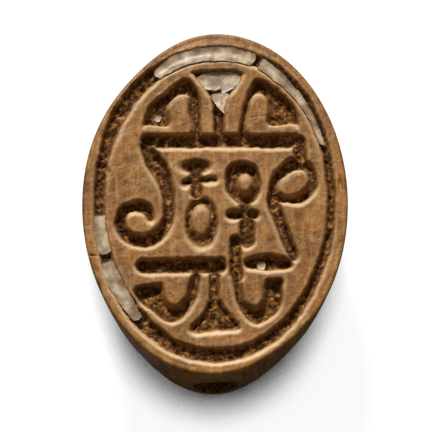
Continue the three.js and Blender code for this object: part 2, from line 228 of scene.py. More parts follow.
# The signs between them: a scroll, a small cross over an oval, a looped cross, and a ring
# with a tail
left_scroll = [[-3.2, 2.8, 0.55], [-2.85, 2.05, 0.8], [-2.5, 1.45, 0.75], [-2.25, 0.7, 0.55],
               [-2.14, -0.15, 0.47], [-2.22, -0.95, 0.48], [-2.6, -1.5, 0.55], [-3.25, -1.85, 0.6],
               [-3.95, -1.72, 0.5], [-4.4, -1.1, 0.48], [-4.25, -0.4, 0.46], [-3.65, -0.14, 0.5],
               [-3.15, -0.36, 0.45], [-2.98, -0.75, 0.3]]
small_cross_head = (-0.92, 1.78, 0.68, 0.32)  # ovals are their middle and their half sizes
small_cross_stem = [[-0.88, 1.6, 0.5], [-0.86, 0.45, 0.5]]
small_cross_arms = [[-1.45, 0.9, 0.24], [-0.86, 1.12, 0.3], [0.0, 1.12, 0.22]]
oval_hollow = (-0.62, -0.95, 0.75, 1.22)
oval_boss = (-0.66, -0.88, 0.42, 0.72)
loop = [[1.3, 2.0], [0.75, 1.85], [0.5, 1.3], [0.6, 0.5], [1.15, -0.05], [1.6, -0.05],
        [2.05, 0.45], [2.1, 1.15], [1.85, 1.8]]
loop_eye = (1.42, 0.92, 0.3, 0.44)
loop_neck = [[1.4, 0.1, 0.45], [1.4, -0.6, 0.45]]
loop_arms = [[0.75, -0.6, 0.4], [1.85, -0.6, 0.4]]
loop_foot = [[1.5, -0.6, 0.6], [1.5, -1.85, 0.66]]
ring_stem = [[3.9, 3.0, 0.6], [4.0, 2.0, 0.55]]
ring = [[3.3, 2.05], [2.75, 1.4], [2.5, 0.6], [2.6, 0.05], [3.3, 0.02], [4.05, 0.02],
        [4.65, 0.6], [4.75, 1.3], [4.5, 1.9], [3.9, 2.2]]
ring_boss = [[3.0, 0.6], [3.15, 1.1], [3.6, 1.5], [4.05, 1.6], [4.3, 1.3], [4.3, 0.8],
             [3.9, 0.45], [3.4, 0.35]]
ring_tail = [[2.7, 0.3, 0.5], [2.75, -0.15, 0.55], [3.05, -0.95, 0.48], [3.3, -1.65, 0.48],
             [3.65, -2.6, 0.4]]

# The lower plants: two grooves, and under them a fork between two more leaves
lower_left_groove = [[-3.3, -3.1, 0.66], [0.2, -3.05, 0.7]]
lower_right_groove = [[1.6, -2.95, 0.5], [2.5, -2.92, 0.74], [3.35, -2.95, 0.5]]
groove_drop = [[0.95, -1.9, 0.55], [1.0, -3.5, 0.55]]
lower_left_hollow = [[-3.65, -4.15], [-3.6, -4.75], [-3.0, -5.2], [-2.4, -5.7], [-1.95, -5.8],
                     [-1.5, -5.55], [-1.1, -5.0], [-0.8, -4.4], [-0.75, -3.25], [-1.25, -3.25],
                     [-1.4, -3.95], [-2.4, -3.95]]
lower_left_leaf = [[-2.3, -3.2], [-2.35, -4.4], [-2.25, -4.85], [-1.85, -5.05], [-1.5, -4.8],
                   [-1.25, -4.35], [-1.2, -3.2]]
lower_right_hollow = [[0.75, -3.3], [0.95, -4.4], [1.2, -5.2], [1.55, -5.7], [2.05, -5.85],
                      [2.6, -5.55], [3.05, -5.0], [3.1, -4.2], [3.1, -3.75], [2.3, -3.75],
                      [1.2, -3.3]]
lower_right_leaf = [[1.25, -3.35], [1.25, -4.3], [1.5, -4.9], [1.9, -5.1], [2.2, -4.8],
                    [2.3, -4.2], [2.3, -3.35]]
fork_stem = [[0.0, -3.3, 0.45], [-0.02, -4.9, 0.44]]
fork_hollow = [[-0.26, -4.8], [-0.5, -5.4], [-1.15, -6.1], [-0.85, -6.35], [-0.3, -6.28],
               [0.4, -6.2], [1.1, -6.15], [0.95, -5.75], [0.4, -5.2], [0.2, -4.75]]
fork_left = [[-0.1, -4.9, 0.32], [-0.42, -5.5, 0.34], [-0.95, -6.1, 0.3]]
fork_right = [[0.15, -4.9, 0.3], [0.5, -5.45, 0.3], [0.95, -5.92, 0.26]]

main_strokes = [upper_groove, left_scroll, loop_neck, loop_arms, loop_foot, ring_tail,
                lower_left_groove, lower_right_groove]
fine_strokes = [small_cross_stem, small_cross_arms, ring_stem, groove_drop, fork_stem,
                fork_left, fork_right]
filled_hollows = [(upper_left_hollow, upper_left_leaf), (upper_right_hollow, upper_right_leaf),
                  (ring, ring_boss), (lower_left_hollow, lower_left_leaf),
                  (lower_right_hollow, lower_right_leaf)]


def cuts_at(x, y):
    """For each cut: how far inside it each place lies, its depth, and how far inside what was
    left standing in it, if anything was."""
    yield in_border(x, y), border_depth, None
    yield in_outline(x, y, notch, smooth=False), main_depth, None
    yield in_outline(x, y, fork_hollow), fork_hollow_depth, None
    yield in_oval(x, y, *small_cross_head), fine_depth, None
    yield in_oval(x, y, *oval_hollow), fine_depth, in_oval(x, y, *oval_boss)
    yield in_outline(x, y, loop), main_depth, in_oval(x, y, *loop_eye)
    for stroke in main_strokes:
        yield in_stroke(x, y, stroke), main_depth, None
    for stroke in fine_strokes:
        yield in_stroke(x, y, stroke), fine_depth, None
    for hollow, standing in filled_hollows:
        yield in_outline(x, y, hollow), main_depth, in_outline(x, y, standing)


def carved(x, y):
    """The depth that the cuts leave at each place, and how far inside any cut it lies."""
    depth = np.zeros(len(x))
    inside = np.full(len(x), -far_away)
    for within, deepest, standing in cuts_at(x, y):
        here = deepest * eased((within + shoulder) / wall_run)
        if standing is not None:
            here *= 1 - eased((standing + leaf_foot) / leaf_roundness)
            within = np.minimum(within, -leaf_foot / 2 - standing)
        depth = np.maximum(depth, here)
        inside = np.maximum(inside, within)
    return depth, inside


# Knocks and cracks of later years: a notch and a pit in the rim, chips beside the border and
# cracks in the upper right leaf and above it, each a stroke and its depth
blemishes = [
    ([[-6.1, -2.66, 0.16], [-5.8, -2.58, 0.1], [-5.5, -2.62, 0.04]], 0.14),
    ([[5.8, 1.3, 0.02], [5.86, 1.0, 0.16], [5.84, 0.65, 0.04]], 0.1),
    ([[3.55, 6.0, 0.14], [3.95, 5.5, 0.16]], 0.1),
    ([[-5.15, 1.85, 0.2], [-4.98, 1.5, 0.22]], 0.2),
    ([[1.7, 4.17, 0.02], [2.4, 4.27, 0.03]], 0.06),
    ([[2.0, 4.0, 0.01], [2.05, 4.6, 0.02]], 0.04),
    ([[2.25, 6.7, 0.03], [2.4, 6.95, 0.04], [2.35, 7.2, 0.03]], 0.09),
]
blemish_shoulder = 0.05
blemish_run = 0.13

# Unevenness of the face, each kind by its height and the size of its lumps
waver = 0.035  # how far the graver strays from its line
waver_size = 0.6
crumble = 0.022  # how far the edge of a cut breaks away
crumble_size = 0.17
floor_lump = 0.12
floor_lump_size = 0.28
floor_grit = 0.06
floor_grit_size = 0.11
long_wave = 0.035
long_wave_size = 2.6
short_wave = 0.018
short_wave_size = 0.5
pit = 0.03
pit_size = 0.16
pit_rarity = 0.55

# How the cuts are darkened and their shoulders paled: the dark is partly dirt and partly painted shade,
# the pale a little wear and mostly a painted highlight
cut_mask_reach = 0.05  # how far outside a cut its mask begins, for its floor grit and for its dark tone of dirt and painted shade
cut_mask_run = 0.12  # from there to where it is full
wear_and_highlight_middle = 0.11  # how far outside a cut its shoulder is palest, with wear and a painted highlight
wear_and_highlight_spread = 0.12
wear_share_all_round = 0.1  # how much of that pale, as wear, is left where a side doesn't face the top end; the rest is a painted highlight where it faces the key light
grime_reach = 0.46
grime_patch_size = 0.5


def face_at(x, y):
    """How far the face lies below its level, where it is cut and darkened with dirt and painted shade,
    where its shoulders are pale with wear and a painted highlight, and where it is grimy.
    """
    flat = np.column_stack([x, y, np.zeros(len(x))])
    stray_x = x + waver * grain(flat, waver_size, seed=11) + crumble * grain(flat, crumble_size, seed=13)
    stray_y = y + waver * grain(flat, waver_size, seed=12) + crumble * grain(flat, crumble_size, seed=14)
    depth, inside = carved(stray_x, stray_y)
    for share in bevel_steps:
        sloping, above = carved(stray_x, stray_y + lower_slope * share)
        depth = np.maximum(depth, sloping * (1 - share))
    # Shoulders on the lower side of a cut, whose slope faces the top end where the key light comes from,
    # get a painted highlight
    facing_the_key = np.clip((above - inside) / (lower_slope * bevel_steps[-1]), 0, 1)
    cut = eased((inside + cut_mask_reach) / cut_mask_run)
    edge = np.exp(-((inside + wear_and_highlight_middle) / wear_and_highlight_spread) ** 2)
    edge *= wear_share_all_round + (1 - wear_share_all_round) * facing_the_key
    grime = np.exp(-(np.minimum(inside, 0) / grime_reach) ** 2)
    grime *= 0.5 + 0.5 * rough(flat, grime_patch_size, seed=26)
    pitted = cut * (floor_lump * rough(flat, floor_lump_size, seed=21)
                    + floor_grit * grain(flat, floor_grit_size, seed=24))
    waves = (long_wave * grain(flat, long_wave_size, seed=31)
             + short_wave * rough(flat, short_wave_size, seed=32))
    waves += pit * np.clip(grain(flat, pit_size, seed=33) - pit_rarity, 0, 1)
    scars = np.zeros(len(x))
    for course, deepest in blemishes:
        within = in_stroke(stray_x, stray_y, course)
        scars = np.maximum(scars, deepest * eased((within + blemish_shoulder) / blemish_run))
    return depth + pitted + waves + scars, cut, edge, grime


# The face is a lattice bent to the oval. Its relief fades out towards the rim, where the
# margin falls a little.
cells_across = 250
cells_along = 340
relief_fade = 0.12
margin = 0.75
margin_fall = 0.07
margin_fade = 0.3
lattice_u, lattice_v = np.meshgrid(np.linspace(-1, 1, cells_across + 1),
                                   np.linspace(-1, 1, cells_along + 1))
disc_x = (lattice_u * np.sqrt(1 - lattice_v ** 2 / 2)).ravel()
disc_y = (lattice_v * np.sqrt(1 - lattice_u ** 2 / 2)).ravel()
disc_angle = np.arctan2(disc_y, disc_x)
disc_reach = np.minimum(np.hypot(disc_x, disc_y), 1)
edge_x, edge_y = oval_point(disc_angle, face_width / 2, face_length / 2)
face_x = disc_reach * edge_x
face_y = disc_reach * edge_y
from_edge = (1 - disc_reach) * np.hypot(edge_x, edge_y)
below_rim = np.clip(rim_rounding - from_edge, 0, rim_rounding)
rim_drop = rim_rounding - np.sqrt(rim_rounding ** 2 - below_rim ** 2)
margin_drop = margin_fall * eased((margin - from_edge) / margin) * eased(from_edge / margin_fade)
relief = face_at(face_x, face_y)[0] * eased(from_edge / relief_fade)
face_points = np.column_stack([face_x, face_y, stone_height - rim_drop - margin_drop - relief])

row = np.arange(cells_across + 1)
column = np.arange(cells_along + 1)
row_length = cells_across + 1
outer_ring = np.concatenate([
    row[:-1],
    column[:-1] * row_length + cells_across,
    cells_along * row_length + row[:0:-1],
    column[:0:-1] * row_length,
])
corners = (column[:-1, None] * row_length + row[None, :-1]).ravel()
quads = [np.column_stack([corners, corners + 1, corners + 1 + row_length, corners + row_length])]

# The wall and the dome go down from the rim in rings, to the small worn flat of the crown
wall_steps = 44
crown_steps = 10
ring_angle = disc_angle[outer_ring]
rings = []
for step in range(1, wall_steps + 1):
    depth = rim_rounding + (stone_height - rim_rounding) * math.sin(math.pi / 2 * step / wall_steps)
    ring_x, ring_y = oval_point(ring_angle, half_at(depth, face_width / 2, flank_fullness),
                                half_at(depth, face_length / 2, end_fullness))
    rings.append(np.column_stack([ring_x, ring_y, np.full(len(ring_x), stone_height - depth)]))
crown_ring = rings[-1]
for step in range(1, crown_steps):
    shrunk = 1 - step / crown_steps
    rings.append(crown_ring * np.array([shrunk, shrunk, 1]))

ring_length = len(outer_ring)
upper = outer_ring
next_point = len(face_points)
for _ in rings:
    lower = next_point + np.arange(ring_length)
    quads.append(np.column_stack([upper, lower, np.roll(lower, -1), np.roll(upper, -1)]))
    upper = lower
    next_point += ring_length

# Grinding left the wall slightly uneven, for the most part a little inside its own sizes
wall_wave = 0.05
wall_wave_size = 2.4
wall_lump = 0.03
wall_lump_size = 0.7
wall_inset = 0.04
foot_fade = 0.4  # over these heights the unevenness fades in above the foot and out below the rim
rim_fade = 0.3
outward_centre = np.array([0, 0, 4.2])  # outward is away from this point inside the stone,
outward_weights = np.array([1, 1, 0.6])  # and less up or down than sideways
wall_points = np.concatenate(rings)
outward = wall_points * outward_weights - outward_centre * outward_weights
outward /= np.linalg.norm(outward, axis=1)[:, None]
uneven = (wall_wave * grain(wall_points, wall_wave_size, seed=41)
          + wall_lump * rough(wall_points, wall_lump_size, seed=42) - wall_inset)
wall_z = wall_points[:, 2]
settled = eased(wall_z / foot_fade) * eased((stone_height - rim_rounding - wall_z) / rim_fade)
wall_points += outward * (uneven * settled)[:, None]
points = np.concatenate([face_points, wall_points, [[0, 0, 0]]])
middle = len(points) - 1
fan = np.column_stack([upper, np.full(ring_length, middle), np.roll(upper, -1)])


def mesh_from(name, corners_mm, faces):
    """A closed, smooth-shaded mesh object from points in millimetres."""
    mesh = bpy.data.meshes.new(name)
    mesh.from_pydata((corners_mm * metres).tolist(), [], faces)
    work = bmesh.new()
    work.from_mesh(mesh)
    bmesh.ops.recalc_face_normals(work, faces=work.faces)
    work.to_mesh(mesh)
    work.free()
    mesh.shade_smooth()
    made = bpy.data.objects.new(name, mesh)
    bpy.context.scene.collection.objects.link(made)
    return made


seal_stone = mesh_from("seal_stone", points, np.concatenate(quads).tolist() + fan.tolist())


# The bore: drilled from both ends with a bow drill, and worn wider at its mouths by the
# string. It is cut out of the stone as the real one is.
bore_radius = 0.9
mouth_radius = 1.05
mouth_length = 1.1
mouth_curve = 1.6  # the larger it is, the closer to its mouths the bore widens
bore_below_face = 2.6
bore_wobble = 0.03  # as a share of its radius
bore_wobble_size = 0.6
bore_sides = 72
bore_steps = 90
drill_overrun = 0.6
bore_end = face_length / 2 + drill_overrun
bore_y = np.linspace(-bore_end, bore_end, bore_steps)
flare = np.clip((np.abs(bore_y) - (face_length / 2 - mouth_length)) / mouth_length, 0, 2) ** mouth_curve
bore_reach = bore_radius + (mouth_radius - bore_radius) * flare
turn = np.linspace(0, 2 * math.pi, bore_sides, endpoint=False)
bore_points = np.concatenate([
    np.column_stack([reach * np.cos(turn), np.full(bore_sides, y), reach * np.sin(turn)])
    for y, reach in zip(bore_y, bore_reach)])
bore_points[:, [0, 2]] *= (1 + bore_wobble * grain(bore_points, bore_wobble_size, seed=51))[:, None]
bore_points[:, 2] += stone_height - bore_below_face
bore_faces = []
for step in range(bore_steps - 1):
    for side in range(bore_sides):
        after = (side + 1) % bore_sides
        low = step * bore_sides
        bore_faces.append([low + side, low + after, low + bore_sides + after, low + bore_sides + side])
bore_faces.append(list(range(bore_sides)))
bore_faces.append(list(range((bore_steps - 1) * bore_sides, bore_steps * bore_sides)))
drill = mesh_from("drill", bore_points, bore_faces)
boring = seal_stone.modifiers.new("bore", "BOOLEAN")
boring.operation = "DIFFERENCE"
boring.solver = "MANIFOLD"
boring.object = drill
bored = bpy.data.meshes.new_from_object(seal_stone.evaluated_get(bpy.context.evaluated_depsgraph_get()))
seal_stone.modifiers.clear()
seal_stone.data = bored
bpy.data.objects.remove(drill)
crisp_edge = math.radians(60)  # a sharper bend than this is shaded as an edge
bored.set_sharp_from_angle(angle=crisp_edge)

# Marks are kept on the mesh for the material: the cuts and the bore are darkened, the cuts partly by dirt
# and partly as painted shade; the shoulders of the cuts are pale, a little from wear and mostly as a
# painted highlight; and grime lies in patches on the rest
face_reach = 0.95  # what lies deeper is wall or bore, and not a cut
bore_darkening_reach = 1.25  # how far from the axis of the bore its darkening ends
bore_darkening_run = 0.3
cut_over_wear_and_highlight = 0.45
wall_grime = 0.35
wall_grime_size = 0.9
stone_points = np.empty(len(bored.vertices) * 3)
bored.vertices.foreach_get("co", stone_points)
stone_points = stone_points.reshape(-1, 3) / metres
on_face = stone_points[:, 2] > stone_height - face_reach
_, cut_here, edge_here, grime_here = face_at(stone_points[:, 0], stone_points[:, 1])
from_axis = np.hypot(stone_points[:, 0], stone_points[:, 2] - (stone_height - bore_below_face))
in_bore = eased((bore_darkening_reach - from_axis) / bore_darkening_run)
patchy = wall_grime + wall_grime * rough(stone_points, wall_grime_size, seed=27)
marks = {
    "dirt_and_painted_shade": np.where(on_face, cut_here, in_bore),
    "wear_and_painted_highlight": np.where(on_face, edge_here * (1 - cut_over_wear_and_highlight * cut_here), 0),
    "grime": np.where(on_face, grime_here, patchy),
}
for name, values in marks.items():
    kept = bored.attributes.new(name, "FLOAT", "POINT")
    kept.data.foreach_set("value", values.astype(np.float32))


# Steatite, fired and handled to a waxy polish: ochre-brown with soft mottling, fine scratches
# and pits, dull and gritty in the cuts where earth still sits, painted dark there besides as
# shade, and painted pale as a highlight along the shoulders that face the key light. The
# scratches and the grit are drawn as coarse as they need to show.
per_mm = 1000.0  # a texture's scale counts its lumps in a metre
mottle_size = 2.4
speckle_size = 0.42
grit_size = 0.13
earth_size = 0.3
scratch_length = 2.0
scratch_slenderness = 12
scratch_turn = 0.12  # radians away from the length of the stone
scratch_relief = 0.03
speckle_relief = 0.07
grit_relief = 0.03
speckle_share = 0.42
grime_strength = 0.66
wear_and_highlight_strength = 0.8
wear_and_highlight_colour = "#F0CC9A"
grime_colour = "#6E4214"
pit_colour = "#3A2008"
streak_colour = "#C89858"


def linear(code):
    """A colour written as sRGB hex, as the linear values that a node takes."""
    parts = [int(code[i:i + 2], 16) / 255 for i in (1, 3, 5)]
    return [p / 12.92 if p <= 0.04045 else ((p + 0.055) / 1.055) ** 2.4 for p in parts] + [1]


def emptied(owner):
    """The node tree of a material or a world, with nothing in it."""
    owner.use_nodes = True
    owner.node_tree.nodes.clear()
    return owner.node_tree


def add(tree, kind, links=(), stops=(), **settings):
    """A node with its settings, with values or other nodes' outputs in its sockets, and with
    the colours of its ramp, if it has one, as [place, hex] stops."""
    made = tree.nodes.new(kind)
    for name, value in settings.items():
        setattr(made, name, value)
    for socket, source in links:
        if isinstance(source, bpy.types.NodeSocket):
            tree.links.new(source, made.inputs[socket])
        else:
            made.inputs[socket].default_value = source
    for number, (place, code) in enumerate(stops):
        ramp = made.color_ramp.elements
        stop = ramp[number] if number < len(ramp) else ramp.new(place)
        stop.position = place
        stop.color = linear(code)
    return made


steatite = bpy.data.materials.new("fired_steatite")
tree = emptied(steatite)
place = add(tree, "ShaderNodeTexCoord").outputs["Object"]
mottle = add(tree, "ShaderNodeTexNoise", [("Vector", place), ("Scale", per_mm / mottle_size),
             ("Detail", 6.0), ("Roughness", 0.62), ("Distortion", 0.6)]).outputs["Fac"]
speckle = add(tree, "ShaderNodeTexNoise", [("Vector", place), ("Scale", per_mm / speckle_size),
              ("Detail", 5.0), ("Roughness", 0.6)]).outputs["Fac"]
grit = add(tree, "ShaderNodeTexNoise", [("Vector", place), ("Scale", per_mm / grit_size),
           ("Detail", 3.0), ("Roughness", 0.7)]).outputs["Fac"]
earth = add(tree, "ShaderNodeTexNoise", [("Vector", place), ("Scale", per_mm / earth_size),
            ("Detail", 7.0), ("Roughness", 0.8)]).outputs["Fac"]
drawn_out = add(tree, "ShaderNodeMapping", [("Vector", place), ("Rotation", (0, 0, scratch_turn)),
                ("Scale", (scratch_slenderness, 1, 1))]).outputs[0]
scratches = add(tree, "ShaderNodeTexNoise", [("Vector", drawn_out),
                ("Scale", per_mm / scratch_length), ("Detail", 3.0)]).outputs["Fac"]
dirt_and_shade_here = add(tree, "ShaderNodeAttribute", attribute_name="dirt_and_painted_shade").outputs["Fac"]
wear_and_highlight_here = add(tree, "ShaderNodeAttribute", attribute_name="wear_and_painted_highlight").outputs["Fac"]
grimy_here = add(tree, "ShaderNodeAttribute", attribute_name="grime").outputs["Fac"]

field_tone = add(tree, "ShaderNodeValToRGB", [("Fac", mottle)], stops=[
    [0.34, "#6E3E10"], [0.45, "#8A581C"], [0.55, "#A4692A"], [0.66, "#BC8440"]]).outputs["Color"]
speckle_tone = add(tree, "ShaderNodeValToRGB", [("Fac", speckle)], stops=[
    [0.36, "#58310C"], [0.5, "#93601E"], [0.64, "#BC893C"]]).outputs["Color"]
# In the cuts: grains of ochre earth, and near-black that paints the shade on their floors and walls
earth_and_shade_tone = add(tree, "ShaderNodeValToRGB", [("Fac", earth)], stops=[
    [0.38, "#261205"], [0.49, "#54310F"], [0.57, "#8C5C26"], [0.65, "#CC9C60"]]).outputs["Color"]
field = add(tree, "ShaderNodeMix", [("Factor", speckle_share), ("A", field_tone),
            ("B", speckle_tone)], data_type="RGBA").outputs[2]
streak = add(tree, "ShaderNodeMapRange", [("Value", scratches), ("From Min", 0.5),
             ("From Max", 0.72), ("To Min", 0.0), ("To Max", 0.5)]).outputs[0]
streaked = add(tree, "ShaderNodeMix", [("Factor", streak), ("A", field),
               ("B", linear(streak_colour))], data_type="RGBA").outputs[2]
grime_share = add(tree, "ShaderNodeMath", [(0, grimy_here), (1, grime_strength)],
                  operation="MULTIPLY").outputs[0]
handled = add(tree, "ShaderNodeMix", [("Factor", grime_share), ("A", streaked),
              ("B", linear(grime_colour))], data_type="RGBA").outputs[2]
pits = add(tree, "ShaderNodeMapRange", [("Value", grit), ("From Min", 0.57), ("From Max", 0.66),
           ("To Min", 0.0), ("To Max", 0.75)]).outputs[0]
pitted = add(tree, "ShaderNodeMix", [("Factor", pits), ("A", handled), ("B", linear(pit_colour))],
             data_type="RGBA").outputs[2]
# The cuts and the bore take that tone: dirt and painted shade
with_dirt_and_shade = add(tree, "ShaderNodeMix", [("Factor", dirt_and_shade_here), ("A", pitted), ("B", earth_and_shade_tone)],
            data_type="RGBA").outputs[2]
# The pale shoulders: a little wear, and mostly a painted highlight where they face the key light
wear_and_highlight_share = add(tree, "ShaderNodeMath", [(0, wear_and_highlight_here), (1, wear_and_highlight_strength)],
                   operation="MULTIPLY").outputs[0]
colour = add(tree, "ShaderNodeMix", [("Factor", wear_and_highlight_share), ("A", with_dirt_and_shade),
             ("B", linear(wear_and_highlight_colour))], data_type="RGBA").outputs[2]

dull = add(tree, "ShaderNodeMapRange", [("Value", dirt_and_shade_here), ("To Min", 0.42),
           ("To Max", 0.92)]).outputs[0]
scratched = add(tree, "ShaderNodeBump", [("Strength", 0.22), ("Distance", scratch_relief * metres),
                ("Height", scratches)]).outputs[0]
lumpy = add(tree, "ShaderNodeBump", [("Strength", 0.5), ("Distance", speckle_relief * metres),
            ("Height", speckle), ("Normal", scratched)]).outputs[0]
gritty = add(tree, "ShaderNodeBump", [("Strength", 0.4), ("Distance", grit_relief * metres),
             ("Height", grit), ("Normal", lumpy)]).outputs[0]
shader = add(tree, "ShaderNodeBsdfPrincipled", [("Base Color", colour), ("Roughness", dull),
             ("Normal", gritty), ("IOR", 1.52), ("Specular IOR Level", 0.26)])
add(tree, "ShaderNodeOutputMaterial", [("Surface", shader.outputs[0])])
bored.materials.clear()
bored.materials.append(steatite)
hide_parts("steatite_body")
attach(seal_stone, "root")


# The glaze in the border: a thin vitreous coat that once covered the whole seal, weathered to
# a cloudy, faintly rippled grey and left only where the groove kept it. It broke off along
# crisp, scalloped edges.
cloud_size = 0.6
film_size = 0.12
film_relief = 0.03
glaze = bpy.data.materials.new("weathered_glaze")
tree = emptied(glaze)
place = add(tree, "ShaderNodeTexCoord").outputs["Object"]
cloud = add(tree, "ShaderNodeTexNoise", [("Vector", place), ("Scale", per_mm / cloud_size),
            ("Detail", 5.0), ("Roughness", 0.6)]).outputs["Fac"]
film = add(tree, "ShaderNodeTexNoise", [("Vector", place), ("Scale", per_mm / film_size),
           ("Detail", 3.0)]).outputs["Fac"]
tone = add(tree, "ShaderNodeValToRGB", [("Fac", cloud)], stops=[
    [0.34, "#765C40"], [0.48, "#9B8162"], [0.62, "#C4AD8E"]]).outputs["Color"]
ripple = add(tree, "ShaderNodeBump", [("Strength", 0.3), ("Distance", film_relief * metres),
             ("Height", film)]).outputs[0]
shader = add(tree, "ShaderNodeBsdfPrincipled", [("Base Color", tone), ("Roughness", 0.45),
             ("Normal", ripple), ("IOR", 1.5), ("Coat Weight", 0.12), ("Coat Roughness", 0.3)])
add(tree, "ShaderNodeOutputMaterial", [("Surface", shader.outputs[0])])

sunk_in = 0.06  # how far a remnant goes down into the stone
least_thickness = 0.05
crisp_break = math.radians(40)  # a sharper bend than this is shaded as an edge


def closed_patch(name, top, lanes, all_round):
    """A thin closed solid under a lattice of top points, row after row of so many lanes, which
    meet where it goes all round."""
    drop = face_at(top[:, 0], top[:, 1])[0]
    base = np.minimum(stone_height - drop - sunk_in, top[:, 2] - least_thickness)
    under = np.column_stack([top[:, 0], top[:, 1], base])
    total = len(top)
    rows = total // lanes
    faces = []
    for r in range(rows - 1):
        for c in range(lanes if all_round else lanes - 1):
            a = r * lanes + c
            b = r * lanes + (c + 1) % lanes
            faces.append([a, b, b + lanes, a + lanes])
            faces.append([total + a, total + a + lanes, total + b + lanes, total + b])
    last_row = (rows - 1) * lanes
    if all_round:
        rim = [last_row + c for c in range(lanes)]
        faces.append(list(range(lanes)))
        faces.append([total + c for c in range(lanes - 1, -1, -1)])
    else:
        rim = list(range(lanes))
        rim += [r * lanes + lanes - 1 for r in range(1, rows)]
        rim += [last_row + c for c in range(lanes - 2, -1, -1)]
        rim += [r * lanes for r in range(rows - 2, 0, -1)]
    for a, b in zip(rim, rim[1:] + rim[:1]):
        faces.append([a, b, total + b, total + a])
    made = mesh_from(name, np.concatenate([top, under]), faces)
    made.data.set_sharp_from_angle(angle=crisp_break)
    return made


strip_lanes = 15
steps_in_degree = 4
least_steps = 24
end_steps = 5  # over so many steps a strip rounds off to its end
scallop = 0.08
inner_scallop_size = 0.45
outer_scallop_size = 0.4
middle_thickness = 0.7  # as a share of the thickness at the edges, for the coat is hollow
strip_ripple = 0.009
strip_ripple_size = 0.5


def border_strip(name, start, end, inner, outer, fill, lean, seed):
    """Glaze along the border groove, between two angles in degrees. Its inner and outer reach
    from the middle of the groove, and its fill, are lists spread evenly along it. It leans
    outward by a height in mm."""
    steps = max(least_steps, int(abs(end - start) * steps_in_degree))
    share = np.linspace(0, 1, steps)
    angle = np.radians(start + (end - start) * share)
    x = border_half_width * np.cos(angle)
    y = border_half_length * np.sin(angle)
    away = np.column_stack([x / border_half_width ** 2, y / border_half_length ** 2])
    away /= np.linalg.norm(away, axis=1)[:, None]
    stray = border_at(angle)[0]
    places = np.linspace(0, 1, len(inner))
    taper = np.sqrt(np.clip(np.minimum(share, 1 - share) * steps / end_steps, 0, 1))
    course = np.column_stack([x, y, np.zeros(steps)])
    low = np.interp(share, places, inner) + scallop * rough(course, inner_scallop_size, seed)
    low *= taper
    high = np.interp(share, places, outer) + scallop * rough(course, outer_scallop_size, seed + 5)
    high *= taper
    filled = np.interp(share, places, fill)
    top = []
    for lane in np.linspace(0, 1, strip_lanes):
        out = stray - low * (1 - lane) + high * lane
        thickness = middle_thickness + (1 - middle_thickness) * (2 * lane - 1) ** 2
        level = stone_height - border_depth + filled * thickness
        level += lean * (0.5 - lane)
        top.append(np.column_stack([x + away[:, 0] * out, y + away[:, 1] * out, level]))
    lattice = np.stack(top, axis=1).reshape(-1, 3)
    lattice[:, 2] += strip_ripple * rough(lattice, strip_ripple_size, seed + 9)
    strip = closed_patch(name, lattice, strip_lanes, False)
    strip.data.materials.append(glaze)
    return strip


# Each piece and its node, then where it runs, its reaches, its fill, its lean and its seed
border_remnants = [
    ("right_border_glaze", "glaze_right_border", 22, 68, [0.26, 0.3, 0.38, 0.42, 0.42],
     [0.05, 0.02, 0.04, 0.1, 0.2], [0.36, 0.38, 0.38, 0.38, 0.36], 0.12, 61),
    ("top_border_glaze", "glaze_top_border", 70, 122, [0.38, 0.42, 0.42, 0.42, 0.34],
     [0.26, 0.34, 0.38, 0.3, 0.12], [0.36, 0.38, 0.4, 0.38, 0.35], 0.12, 71),
    ("left_border_glaze_upper", "glaze_left_border_upper", 184, 200, [0.28, 0.34, 0.32],
     [0.28, 0.34, 0.32], [0.35, 0.38, 0.35], 0.0, 81),
    ("left_border_glaze_lower", "glaze_left_border_lower", 202, 230, [0.3, 0.32, 0.28, 0.22],
     [0.4, 0.4, 0.34, 0.24], [0.37, 0.37, 0.36, 0.33], 0.0, 91),
]
for name, node, *form in border_remnants:
    strip = border_strip(name, *form)
    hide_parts(node)
    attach(strip, "root")


# Patches of the same glaze in the figures: one on the floor of the notch between the upper
# leaves, and two small flakes in the lower groove and in the upper left leaf. They still
# hold to the stone where the cuts sheltered them.
patch_sides = 96
patch_rings = np.linspace(0.06, 1, 16)  # as shares of its reach
patch_scallop = 0.05
patch_scallop_size = 0.22
lowest_thickness = 0.85  # as a share of the thickness at the edge
edge_upturn = 4  # the larger it is, the closer to the edge the top turns up
patch_ripple = 0.007
patch_ripple_size = 0.3
main_floor = stone_height - main_depth


def floor_patch(name, outline, middle, spread, floor, thickness, finish, seed):
    """A remnant on the floor of a cut, with its outline spread from its middle."""
    course = np.array(through(outline, True))
    turn = np.linspace(0, 2 * math.pi, patch_sides, endpoint=False)
    found = np.arctan2(course[:, 1] - middle[1], course[:, 0] - middle[0]) % (2 * math.pi)
    reach = np.hypot(course[:, 0] - middle[0], course[:, 1] - middle[1])
    order = np.argsort(found)
    reach = np.interp(turn, found[order], reach[order], period=2 * math.pi)
    round_about = np.column_stack([np.cos(turn), np.sin(turn), np.zeros(patch_sides)])
    reach *= spread * (1 + patch_scallop * grain(round_about, patch_scallop_size, seed))
    top = []
    for share in patch_rings:
        level = floor + thickness * (lowest_thickness + (1 - lowest_thickness) * share ** edge_upturn)
        top.append(np.column_stack([middle[0] + share * reach * np.cos(turn),
                                    middle[1] + share * reach * np.sin(turn),
                                    np.full(patch_sides, level)]))
    lattice = np.concatenate(top)
    lattice[:, 2] += patch_ripple * rough(lattice, patch_ripple_size, seed + 3)
    patch = closed_patch(name, lattice, patch_sides, True)
    patch.data.materials.append(finish)
    return patch


